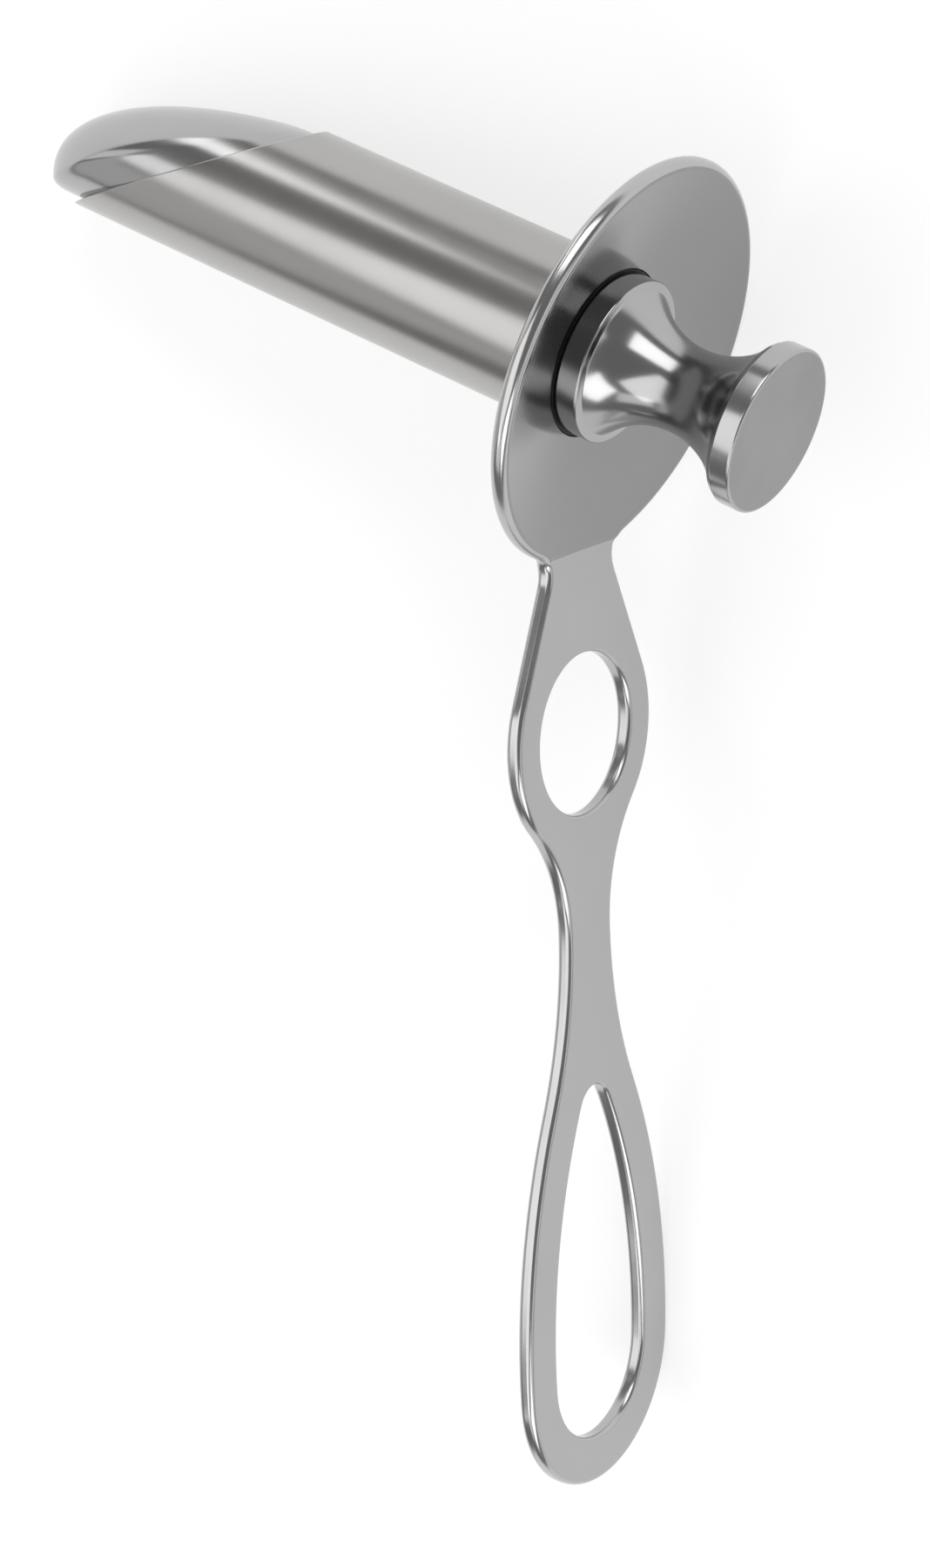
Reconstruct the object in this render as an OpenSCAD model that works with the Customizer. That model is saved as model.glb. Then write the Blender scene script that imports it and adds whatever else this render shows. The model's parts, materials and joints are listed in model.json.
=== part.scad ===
// Tubular anal speculum with its obturator fully home.
// It lies on its side on a table, as it comes to rest: +Z is up and z = 0 is the table.
// The instrument's own axes, used by every piece before it is laid down, are
// x across the handle, y along the tube away from the user and z up, away from the handle.
// y = 0 is the front plane of the flange's rim.

/* [Tube] */
// Outer diameter of the tube
tube_d = 25; // [15:0.5:35]
// Wall of the tube
tube_wall = 1; // [0.6:0.1:2]
// Length of the tube from its mouth to the tip of its long side
tube_length = 93.2; // [70:0.1:140]
// Angle between the oblique end and the tube's axis
bevel_angle = 33.2; // [28:0.1:60]

/* [Flange] */
// Outer diameter of the dished flange
flange_d = 60.4; // [50:0.2:90]
// Slope of the dish
dish_angle = 16; // [5:1:25]
// Thickness of the plate that flange and handle are pressed from
plate_t = 2.6; // [1.6:0.1:3]
// Radial braze gap between the flange and the tube
braze_gap = 0.05; // [0.02:0.01:0.1]

/* [Handle] */
// Angle of the handle away from the flange's plane, towards the user
handle_tilt = 18; // [0:1:35]
// Length of the handle from the fold to its end
handle_length = 144.5; // [130:0.5:180]
// Width of the neck at the fold
neck_w = 16.6; // [12:0.2:20]
// Length of the straight neck below the fold
neck_length = 3; // [1:0.5:6]
// Radius of the fillets between the neck and the flange
neck_fillet = 3; // [2:0.5:6]
// Diameter of the round finger hole
hole_d = 23.8; // [15:0.2:26]
// Distance of the finger hole's centre from the fold
hole_pos = 27.2; // [24:0.2:32]
// Width of the rounded eye around the finger hole
eye_w = 35.4; // [32:0.2:42]
// Width of the waist below the eye
waist_w = 11.3; // [7:0.1:16]
// Distance of the waist from the fold
waist_pos = 57; // [54:0.5:62]
// Greatest width of the loop
loop_w = 38.4; // [34:0.2:46]
// Distance of the loop's widest place from the fold
loop_pos = 121; // [112:0.5:124]
// Radius of the loop's long sides
loop_side_r = 94; // [85:1:130]
// Width of the loop's sides
loop_bar = 7.2; // [4:0.1:9]
// Width of the loop's end
loop_end_bar = 7.4; // [5:0.1:12]
// Diameter of the narrow end of the loop's opening
slot_top_d = 7.6; // [4:0.1:9]

/* [Obturator] */
// Radial clearance of the obturator in the tube
fit_gap = 0.05; // [0.02:0.01:0.1]
// How far the nose reaches past the tube's tip
nose_over = 5.4; // [2:0.1:12]
// Length of the domed part of the nose
nose_length = 54.5; // [48:0.5:70]
// Distance of the dome's axis below the tube's axis
nose_drop = 7; // [4:0.1:16]
// Height of the dome's start above the bore's wall
nose_crown = 0.6; // [0.2:0.1:2]
// How full the dome is: 2 is an ellipse, more is blunter
nose_fullness = 2; // [2:0.1:3]
// Rounding of the nose's lower and side edges
nose_round = 0.9; // [0.8:0.1:6]
// How much the nose is eased below the bore's size at its tip
nose_ease = 0.1; // [0:0.1:1.2]
// Length of the cylindrical guide behind the dome
guide_length = 14; // [8:0.5:24]
// Diameter of the rod between the nose and the knob
rod_d = 8; // [5:0.5:10]
// How deep the rod is screwed into the nose and the knob
rod_depth = 9; // [5:0.5:12]
// Radial gap of the screwed ends of the rod
thread_gap = 0.04; // [0.02:0.01:0.1]

/* [Knob] */
// Diameter of the stop collar that seats on the tube's mouth
collar_d = 24.2; // [23.5:0.1:27]
// Thickness of the stop collar
collar_t = 3.7; // [2:0.1:6]
// Edge rounding of the collar and of the end disc
knob_edge_r = 0.5; // [0.3:0.1:1.2]
// Length of the locating spigot that centres the knob in the tube
spigot_length = 3; // [2:0.5:6]
// Diameter of the waist of the spool
spool_waist_d = 12.4; // [11:0.1:16]
// Distance of the spool's waist from the mouth
spool_waist_pos = 14.2; // [12:0.1:16]
// Radius of the spool's hollow
spool_r = 14; // [12:0.5:20]
// Diameter of the end disc
disc_d = 24.2; // [20:0.1:30]
// Thickness of the end disc
disc_t = 3.2; // [2:0.1:5]
// Distance of the end face from the mouth
knob_length = 29.1; // [26:0.1:34]

/* [Hidden] */
$fn = 96;
steel = [0.67, 0.68, 0.68];
bright_steel = [0.78, 0.79, 0.80];

// Tube
tube_r = tube_d / 2;
bore_r = tube_r - tube_wall;
// Flange: its front runs down the dish from fold_r to the mouth
flange_bore_r = tube_r + braze_gap;
fold_r = flange_d / 2 - plate_t / 2 * (1 + sin(dish_angle));
mouth_y = (fold_r - flange_bore_r) * tan(dish_angle);
tip_y = mouth_y + tube_length;
short_y = tip_y - tube_d / tan(bevel_angle);
// Obturator
obturator_r = bore_r - fit_gap;
nose_tip_y = tip_y + nose_over;
dome_y = nose_tip_y - nose_length;
dome_r = obturator_r + nose_drop + nose_crown;
dome_start_y = min(short_y - 2, nose_tip_y - 40);
nose_back_y = dome_start_y - guide_length;
rod_front_y = nose_back_y + rod_depth;
rod_back_y = mouth_y - rod_depth;
// Knob
knob_end_y = mouth_y - knob_length;
spool_waist_y = mouth_y - spool_waist_pos;

// Handle outline, in its own plane: u across, v down from the fold.
eye_r = eye_w / 2;
waist_r = waist_w / 2;
side_u = loop_w / 2 - loop_side_r;
// Hollow between the eye and the waist, tangent to both
upper_hollow_r = (pow(waist_pos - hole_pos, 2) + waist_r * waist_r - eye_r * eye_r)
    / (2 * (eye_r - waist_r));
// Hollow between the waist and the loop's side, tangent to both
lower_hollow_r = (pow(loop_pos - waist_pos, 2) + pow(waist_r - side_u, 2)
    - loop_side_r * loop_side_r) / (2 * (loop_side_r - waist_r + side_u));
upper_hollow = [waist_r + upper_hollow_r, waist_pos];
lower_hollow = [waist_r + lower_hollow_r, waist_pos];
// Where the hollows touch the eye and the side
eye_touch = [0, hole_pos] + eye_r * unit(upper_hollow - [0, hole_pos]);
side_touch = [side_u, loop_pos] + loop_side_r * unit(lower_hollow - [side_u, loop_pos]);
// Round end of the loop and of its opening, both inside the long side arcs
end_r = end_radius(handle_length, loop_side_r);
slot_side_r = loop_side_r - loop_bar;
slot_end = handle_length - loop_end_bar;
slot_end_r = end_radius(slot_end, slot_side_r);
slot_top_r = slot_top_d / 2;
slot_top_pos = loop_pos - sqrt(pow(slot_side_r - slot_top_r, 2) - side_u * side_u);
// Degrees between the points of the loop's long arcs
flat_step = 2;
// Degrees between the points of the flange's round rim
rim_step = 10;
// Tangent of the straight flare from the neck to the eye
neck_corner = [neck_w / 2, neck_length];
flare_touch = tangent_point(neck_corner, [0, hole_pos], eye_r);
// Fillet between the neck and the flange's rim
fillet_u = neck_w / 2 + neck_fillet;
fillet_v = sqrt(pow(flange_d / 2 + neck_fillet, 2) - fillet_u * fillet_u) - fold_r;
// How far the handle's root is let into the flange's rim
root_lap = plate_t;
root_u = fillet_u * flange_d / (flange_d + 2 * neck_fillet);
root_v = -fold_r + sqrt(pow(flange_d / 2 - root_lap, 2) - root_u * root_u);

function unit(p) = p / norm(p);
function bearing(p) = atan2(p[1], p[0]);
// Points along an arc of radius r about c, from one bearing to another
function arc(c, r, from, to, step = 5) =
    let (n = max(2, ceil(abs(to - from) / step)))
    [for (i = [0 : n]) c + r * [cos(from + (to - from) * i / n), sin(from + (to - from) * i / n)]];
// The whole outline from its half on the +u side
function mirrored(half) = concat(half, [for (i = [len(half) - 1 : -1 : 0]) [-half[i][0], half[i][1]]]);
function clamp(a, low, high) = max(low, min(high, a));
// Radius of the round end that reaches v = end and touches the long sides of radius side_r
function end_radius(end, side_r) = (side_r * side_r - side_u * side_u - pow(end - loop_pos, 2))
    / (2 * (side_r - (end - loop_pos)));
// Outer tangent point, on the +u side, of the line from p to the circle at c with radius r
function tangent_point(p, c, r) =
    let (d = norm(p - c), a = acos(r / d), b = atan2(p[1] - c[1], p[0] - c[0]))
    c + r * [cos(b + a), sin(b + a)];
// Point where two inner-touching circles meet, seen from the larger circle's centre
function touch(c_big, r_big, c_small) = c_big + r_big * unit(c_small - c_big);

// Nose: a cylinder cut by a long dome, with an edge rounding that grows towards the tip
function nose_share(y) = clamp((y - dome_start_y) / (nose_tip_y - dome_start_y), 0, 1);
function smooth_max(a, b, k) = max(a, b) + pow(max(k - abs(a - b), 0), 2) / (4 * k);
function nose_wall(y) = obturator_r - nose_ease * pow(nose_share(y), 2);
function along_dome(y) = pow(clamp((y - dome_y) / nose_length, 0, 2), nose_fullness);
function dome_top(y) = dome_r * pow(max(1 - along_dome(y), 0), 1 / nose_fullness) - nose_drop;
function nose_field(x, y, z) =
    let (wall = norm([x, z]) - nose_wall(y),
         reach = pow(norm([x, z + nose_drop]) / dome_r, nose_fullness),
         dome = (pow(along_dome(y) + reach, 1 / nose_fullness) - 1) * dome_r)
    y < dome_start_y ? norm([x, z]) - obturator_r + 0.02 :
        smooth_max(wall, dome, 0.1 + nose_round * nose_share(y));
// Middle of the nose's section at a place along the tube
function nose_centre(y) = (min(dome_top(y), nose_wall(y)) - nose_wall(y)) / 2;
function nose_reach(y, a, low, high, n) = n == 0 ? low :
    let (mid = (low + high) / 2,
         inside = nose_field(mid * cos(a), y, nose_centre(y) + mid * sin(a)) < 0)
    inside ? nose_reach(y, a, mid, high, n - 1) : nose_reach(y, a, low, mid, n - 1);
function nose_end(low, high, n) = n == 0 ? low :
    let (mid = (low + high) / 2)
    nose_field(0, mid, nose_centre(mid)) < 0 ? nose_end(mid, high, n - 1) : nose_end(low, mid, n - 1);
nose_sides = 60;
nose_rings = 26;
nose_end_y = nose_end(dome_start_y, nose_tip_y + 1, 30);
nose_start_y = dome_start_y - 1;
nose_points = concat(
    [for (i = [0 : nose_rings - 1])
        let (y = nose_start_y + (nose_end_y - nose_start_y) * sin(90 * i / nose_rings))
        for (j = [0 : nose_sides - 1])
            let (a = 360 * j / nose_sides, r = nose_reach(y, a, 0, 2 * obturator_r, 24))
            [r * cos(a), y, nose_centre(y) + r * sin(a)]],
    [[0, nose_end_y, nose_centre(nose_end_y)]]);
nose_faces = concat(
    [[for (j = [nose_sides - 1 : -1 : 0]) j]],
    [for (i = [0 : nose_rings - 2]) for (j = [0 : nose_sides - 1])
        let (a = i * nose_sides + j, b = i * nose_sides + (j + 1) % nose_sides)
        [a, b, b + nose_sides, a + nose_sides]],
    [for (j = [0 : nose_sides - 1])
        [(nose_rings - 1) * nose_sides + j, (nose_rings - 1) * nose_sides + (j + 1) % nose_sides,
            nose_rings * nose_sides]]);

// Rest: the flange's rim, the tube's end or nose, and the loop's edge all touch the table.
function rim_points() = [for (a = [0 : 5 : 355])
    [flange_d / 2 * cos(a), plate_t / 2 * cos(dish_angle), flange_d / 2 * sin(a)]];
function bevel_y(z) = tip_y - (z + tube_r) / tan(bevel_angle);
function tube_end_points() = [for (a = [0 : 5 : 355])
    [tube_r * cos(a), bevel_y(tube_r * sin(a)), tube_r * sin(a)]];
// Place of handle point (u, v) at a depth behind the front face
function handle_point(u, v, depth) = [u,
    -v * sin(handle_tilt) + depth * cos(handle_tilt),
    -fold_r - v * cos(handle_tilt) - depth * sin(handle_tilt)];
function loop_points() = [for (a = [0 : 3 : 357]) for (depth = [0, plate_t])
    handle_point(end_r * cos(a), handle_length - end_r + end_r * sin(a), depth)];
function side_points() = [for (v = [loop_pos - 20 : 2 : loop_pos]) for (depth = [0, plate_t])
    handle_point(side_u + sqrt(loop_side_r * loop_side_r - pow(v - loop_pos, 2)), v, depth)];
function furthest(points, n) = let (d = points * n, m = max(d)) points[search(m, d)[0]];
rim_cloud = rim_points();
front_cloud = concat(tube_end_points(), nose_points);
loop_cloud = concat(loop_points(), side_points());
function table_normal(n, left) = left == 0 ? n :
    let (a = furthest(rim_cloud, n), b = furthest(front_cloud, n), c = furthest(loop_cloud, n),
         m = unit(cross(b - a, c - a)))
    table_normal(m[0] < 0 ? -m : m, left - 1);
down = table_normal([1, 0, 0], 12);
// Angles that turn that direction straight down and keep the tube's axis in the XZ plane
lay_x = atan(-down[2] / down[0]);
lay_y = atan2(-down[1], norm([down[0], down[2]]));
function turn_x(p, a) = [p[0], p[1] * cos(a) - p[2] * sin(a), p[1] * sin(a) + p[2] * cos(a)];
function turn_y(p, a) = [p[0] * cos(a) + p[2] * sin(a), p[1], p[2] * cos(a) - p[0] * sin(a)];
function turn_z(p, a) = [p[0] * cos(a) - p[1] * sin(a), p[0] * sin(a) + p[1] * cos(a), p[2]];
function on_side(p) = [-p[1], p[2], -p[0]];
laid_axis = turn_y(turn_x(on_side([0, 1, 0]), lay_x), lay_y);
lay_z = 180 - atan2(laid_axis[1], laid_axis[0]);
function laid(p) = turn_z(turn_y(turn_x(on_side(p), lay_x), lay_y), lay_z);
knob_points = [for (a = [0 : 5 : 355]) [disc_d / 2 * cos(a), knob_end_y, disc_d / 2 * sin(a)]];
outline = [for (p = concat(rim_cloud, front_cloud, loop_cloud, knob_points)) laid(p)];
outline_x = [for (p = outline) p[0]];
outline_y = [for (p = outline) p[1]];
outline_z = [for (p = outline) p[2]];
origin = [(min(outline_x) + max(outline_x)) / 2, (min(outline_y) + max(outline_y)) / 2, min(outline_z)];

module at_rest() {
    translate(-origin)
        rotate([lay_x, lay_y, lay_z])
            rotate([-90, 90, 0])
                children();
}

// Turns a body drawn along +Z so that it lies along the tube's axis, from y = start
module along_tube(start) {
    translate([0, start, 0])
        rotate([-90, 0, 0])
            children();
}

// Half section of the flange: a sloping plate with a full round rim
module flange_section() {
    rim_centre = [fold_r, 0] + plate_t / 2 * [sin(dish_angle), cos(dish_angle)];
    polygon(concat(
        [[flange_bore_r, mouth_y]],
        arc(rim_centre, plate_t / 2, -90 - dish_angle, 90 - dish_angle, rim_step),
        [[flange_bore_r, mouth_y + plate_t / cos(dish_angle)]]));
}

// Outline of the handle: fillets at the flange, neck, eye, waist, long sides and round end
module handle_outline() {
    end_centre = [0, handle_length - end_r];
    side_centre = [side_u, loop_pos];
    end_touch = touch(side_centre, loop_side_r, end_centre);
    polygon(mirrored(concat(
        [[root_u, root_v]],
        arc([fillet_u, fillet_v], neck_fillet, bearing([-fillet_u, -fold_r - fillet_v]), -180),
        [neck_corner],
        arc([0, hole_pos], eye_r, bearing(flare_touch - [0, hole_pos]), bearing(eye_touch - [0, hole_pos])),
        arc(upper_hollow, upper_hollow_r, bearing(eye_touch - upper_hollow) + 360, 180),
        arc(lower_hollow, lower_hollow_r, 180, bearing(side_touch - lower_hollow), flat_step),
        arc(side_centre, loop_side_r, bearing(side_touch - side_centre),
            bearing(end_touch - side_centre), flat_step),
        arc(end_centre, end_r, bearing(end_touch - end_centre), 90))));
}

// Teardrop opening of the loop
module slot_outline() {
    top_centre = [0, slot_top_pos];
    end_centre = [0, slot_end - slot_end_r];
    side_centre = [side_u, loop_pos];
    from_touch = touch(side_centre, slot_side_r, top_centre);
    to_touch = touch(side_centre, slot_side_r, end_centre);
    polygon(mirrored(concat(
        arc(top_centre, slot_top_r, -90, bearing(from_touch - top_centre)),
        arc(side_centre, slot_side_r, bearing(from_touch - side_centre),
            bearing(to_touch - side_centre), flat_step),
        arc(end_centre, slot_end_r, bearing(to_touch - end_centre), 90))));
}

// Dished flange and handle, pressed from one plate
module flange_handle() {
    color(steel)
        at_rest() {
            rotate([90, 0, 0])
                mirror([0, 0, 1])
                    rotate_extrude()
                        flange_section();
            difference() {
                translate([0, 0, -fold_r])
                    rotate([90 - handle_tilt, 0, 0])
                        translate([0, 0, -plate_t])
                            difference() {
                                linear_extrude(plate_t)
                                    mirror([0, 1])
                                        difference() {
                                            handle_outline();
                                            slot_outline();
                                        }
                                translate([0, -hole_pos, -1])
                                    cylinder(h = plate_t + 2, d = hole_d);
                            }
            }
        }
}

// Straight thin tube with its oblique end, brazed into the flange
module speculum_tube() {
    color(steel)
        at_rest()
            difference() {
                along_tube(mouth_y)
                    cylinder(h = tube_length, r = tube_r);
                along_tube(mouth_y - 1)
                    cylinder(h = tube_length + 2, r = bore_r);
                translate([0, tip_y, -tube_r])
                    rotate([90 - bevel_angle, 0, 0])
                        translate([-tube_d, 0, -tube_d])
                            cube([2 * tube_d, 4 * tube_d, 5 * tube_d]);
            }
}

// Oblique domed nose that fills the tube's end, with a cylindrical guide behind it
module obturator_nose() {
    color(bright_steel)
        at_rest()
            difference() {
                union() {
                    along_tube(nose_back_y)
                        cylinder(h = guide_length, r = obturator_r);
                    polyhedron(nose_points, nose_faces, convexity = 4);
                }
                along_tube(nose_back_y - 1)
                    cylinder(h = rod_depth + 1, d = rod_d + 2 * thread_gap);
            }
}

// Rod screwed into the nose and into the knob
module obturator_rod() {
    color(steel)
        at_rest()
            along_tube(rod_back_y)
                cylinder(h = rod_front_y - rod_back_y, d = rod_d);
}

// Half section of a disc with rounded edges, from y = 0 to t
module rounded_disc(r, t) {
    square([r - knob_edge_r, t]);
    translate([0, knob_edge_r])
        square([r, t - 2 * knob_edge_r]);
    for (y = [knob_edge_r, t - knob_edge_r])
        translate([r - knob_edge_r, y])
            circle(r = knob_edge_r);
}

// Turned spool with a stop collar, a locating spigot and a flat end disc
module obturator_knob() {
    spool_end = knob_length - disc_t;
    color(bright_steel)
        at_rest()
            along_tube(knob_end_y)
                difference() {
                    union() {
                        rotate_extrude() {
                            rounded_disc(disc_d / 2, disc_t);
                            translate([0, knob_length - collar_t])
                                rounded_disc(collar_d / 2, collar_t);
                            difference() {
                                translate([0, disc_t / 2])
                                    square([min(disc_d, collar_d) / 2 - knob_edge_r, spool_end - disc_t / 2]);
                                translate([spool_waist_d / 2 + spool_r, knob_length - spool_waist_pos])
                                    circle(r = spool_r);
                            }
                        }
                        translate([0, 0, knob_length - 1])
                            cylinder(h = spigot_length + 1, r = obturator_r);
                    }
                    translate([0, 0, knob_length - rod_depth])
                        cylinder(h = rod_depth + spigot_length + 1, d = rod_d + 2 * thread_gap);
                }
}

flange_handle();
speculum_tube();
obturator_nose();
obturator_rod();
obturator_knob();
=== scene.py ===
"""Looks of a tubular anal speculum with its obturator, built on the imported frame.

Every piece is drawn in the instrument's own axes and laid down with one placing:
x runs across the handle, y along the tube away from the user, z up and away from the handle,
and y = 0 is the front plane of the flange's rim.
"""

import json
import math

import bpy
import numpy as np
from bpy.props import FloatProperty, FloatVectorProperty, PointerProperty
from mathutils import Matrix, Vector
from mathutils.geometry import delaunay_2d_cdt


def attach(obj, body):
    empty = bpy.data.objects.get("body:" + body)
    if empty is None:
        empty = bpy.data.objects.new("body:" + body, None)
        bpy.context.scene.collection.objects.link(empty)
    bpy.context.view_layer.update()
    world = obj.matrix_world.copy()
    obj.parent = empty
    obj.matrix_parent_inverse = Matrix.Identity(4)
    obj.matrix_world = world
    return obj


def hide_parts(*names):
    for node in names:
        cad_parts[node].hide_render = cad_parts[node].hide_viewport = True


bl_info = {
    "name": "Tubular speculum",
    "version": (1, 0, 0),
    "blender": (4, 5, 0),
    "location": "3D View > Sidebar > Speculum",
    "description": "Builds a tubular speculum with its obturator, and its stage",
    "category": "Object",
}

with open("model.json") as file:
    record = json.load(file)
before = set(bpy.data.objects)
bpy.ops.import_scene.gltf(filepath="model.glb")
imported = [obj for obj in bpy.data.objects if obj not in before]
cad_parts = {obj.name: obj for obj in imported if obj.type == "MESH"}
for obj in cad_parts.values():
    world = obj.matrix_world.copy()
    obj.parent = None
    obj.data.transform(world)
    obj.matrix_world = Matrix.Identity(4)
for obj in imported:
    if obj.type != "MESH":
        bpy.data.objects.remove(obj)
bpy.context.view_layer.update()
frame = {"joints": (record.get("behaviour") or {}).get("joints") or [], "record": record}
MM = 0.001
# Radial gap between the tube and the flange's bore, filled by the braze
BRAZE_GAP = 0.05 * MM
# The dome starts at least this far behind the bevel, and this far behind the nose's tip
DOME_BEFORE_BEVEL = 2 * MM
DOME_REACH = 40 * MM
# Rounding of the mouth's edges, on the tube and on the flange's bore
MOUTH_ROUND = 0.1 * MM
# Numbers of the plate's materials
PLATE_FACE, PLATE_EDGE, PLATE_DISH, PLATE_SEAM_SHADE = range(4)
# Camera in the instrument's own axes: place in mm, and the picture's right and viewing directions
CAMERA_PLACE = (-463.33, -246.02, 178.67)
CAMERA_RIGHT = (0.5603, -0.7969, 0.2259)
CAMERA_AHEAD = (0.7922, 0.4361, -0.4269)
# Rectangular lamps round the tube's middle: bearing and height in degrees, distance, width and
# height in metres, and brightness
SOFTBOXES = {
    "overhead_softbox": (-140, 65, 0.9, 1.12, 0.84, 1.4),
    "side_softbox": (88, 32, 0.8, 0.78, 0.45, 2.2),
    "handle_softbox": (-42, 33, 0.8, 0.46, 0.43, 2.3),
    "low_handle_softbox": (-92, 36, 0.8, 0.5, 0.3, 0.85),
    "strip_softbox": (135, 15, 0.8, 0.14, 0.4, 2.2),
    "tip_softbox": (172, 18, 0.8, 0.25, 0.46, 0.85),
    "left_fill_softbox": (-150, 20, 0.8, 0.65, 0.43, 0.45),
    "right_fill_softbox": (2, 20, 0.8, 0.65, 0.34, 0.75),
}


def hex_colour(text):
    """Linear colour of an sRGB hex value, such as "a9abaa"."""
    channels = [int(text[i : i + 2], 16) / 255 for i in (0, 2, 4)]
    return tuple(
        c / 12.92 if c <= 0.04045 else ((c + 0.055) / 1.055) ** 2.4 for c in channels
    )


class SpeculumSizes(bpy.types.PropertyGroup):
    """Sizes of the tube, the flange and the handle"""

    tube_diameter: FloatProperty(
        name="Tube diameter", description="Outer diameter of the tube",
        default=25 * MM, unit="LENGTH")
    tube_wall: FloatProperty(
        name="Tube wall", description="Thickness of the tube's wall",
        default=1 * MM, unit="LENGTH")
    tube_length: FloatProperty(
        name="Tube length", description="From the mouth to the tip of the long side",
        default=93.2 * MM, unit="LENGTH")
    bevel_angle: FloatProperty(
        name="Bevel angle", description="Between the oblique end and the tube's axis",
        default=math.radians(33.2), subtype="ANGLE")
    lip_round: FloatProperty(
        name="Lip rounding", description="How far the tube's edges are rounded",
        default=0.38 * MM, unit="LENGTH")
    flange_diameter: FloatProperty(
        name="Flange diameter", description="Outer diameter of the dished flange",
        default=60.4 * MM, unit="LENGTH")
    dish_angle: FloatProperty(
        name="Dish angle", description="Slope of the flange's dish",
        default=math.radians(16), subtype="ANGLE")
    plate_thickness: FloatProperty(
        name="Plate thickness", description="Thickness of the pressed plate",
        default=2.6 * MM, unit="LENGTH")
    handle_tilt: FloatProperty(
        name="Handle tilt", description="Angle of the handle towards the user",
        default=math.radians(18), subtype="ANGLE")
    handle_length: FloatProperty(
        name="Handle length", description="From the fold to the handle's end",
        default=144.5 * MM, unit="LENGTH")
    neck_width: FloatProperty(
        name="Neck width", description="Width of the neck at the fold",
        default=16.6 * MM, unit="LENGTH")
    neck_length: FloatProperty(
        name="Neck length", description="Length of the straight neck",
        default=3 * MM, unit="LENGTH")
    neck_fillet: FloatProperty(
        name="Neck fillet", description="Radius between the neck and the flange",
        default=3 * MM, unit="LENGTH")
    fold_width: FloatProperty(
        name="Fold width", description="Width over which the plate bends into the handle",
        default=1.6 * MM, unit="LENGTH")
    hole_diameter: FloatProperty(
        name="Finger hole", description="Diameter of the round finger hole",
        default=23.8 * MM, unit="LENGTH")
    hole_position: FloatProperty(
        name="Finger hole position", description="From the fold to the hole's centre",
        default=27.2 * MM, unit="LENGTH")
    eye_width: FloatProperty(
        name="Eye width", description="Width of the handle around the finger hole",
        default=35.4 * MM, unit="LENGTH")
    waist_width: FloatProperty(
        name="Waist width", description="Width of the handle's waist",
        default=11.3 * MM, unit="LENGTH")
    waist_position: FloatProperty(
        name="Waist position", description="From the fold to the waist",
        default=57 * MM, unit="LENGTH")
    loop_width: FloatProperty(
        name="Loop width", description="Greatest width of the loop",
        default=38.4 * MM, unit="LENGTH")
    loop_position: FloatProperty(
        name="Loop position", description="From the fold to the loop's widest place",
        default=121 * MM, unit="LENGTH")
    loop_side_radius: FloatProperty(
        name="Loop side radius", description="Radius of the loop's long sides",
        default=94 * MM, unit="LENGTH")
    loop_bar: FloatProperty(
        name="Loop bar", description="Width of the loop's sides",
        default=7.2 * MM, unit="LENGTH")
    loop_end_bar: FloatProperty(
        name="Loop end bar", description="Width of the loop's end",
        default=7.4 * MM, unit="LENGTH")
    slot_top_diameter: FloatProperty(
        name="Slot top", description="Diameter of the narrow end of the opening",
        default=7.6 * MM, unit="LENGTH")
    handle_edge: FloatProperty(
        name="Handle edge", description="Rounding of the handle's outer edges",
        default=0.95 * MM, unit="LENGTH")
    opening_edge: FloatProperty(
        name="Opening edge", description="Rounding of the finger hole's and the loop's edges",
        default=0.85 * MM, unit="LENGTH")
    braze_leg: FloatProperty(
        name="Braze leg", description="Leg of the brazed fillet behind the flange",
        default=1.1 * MM, unit="LENGTH")


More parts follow.
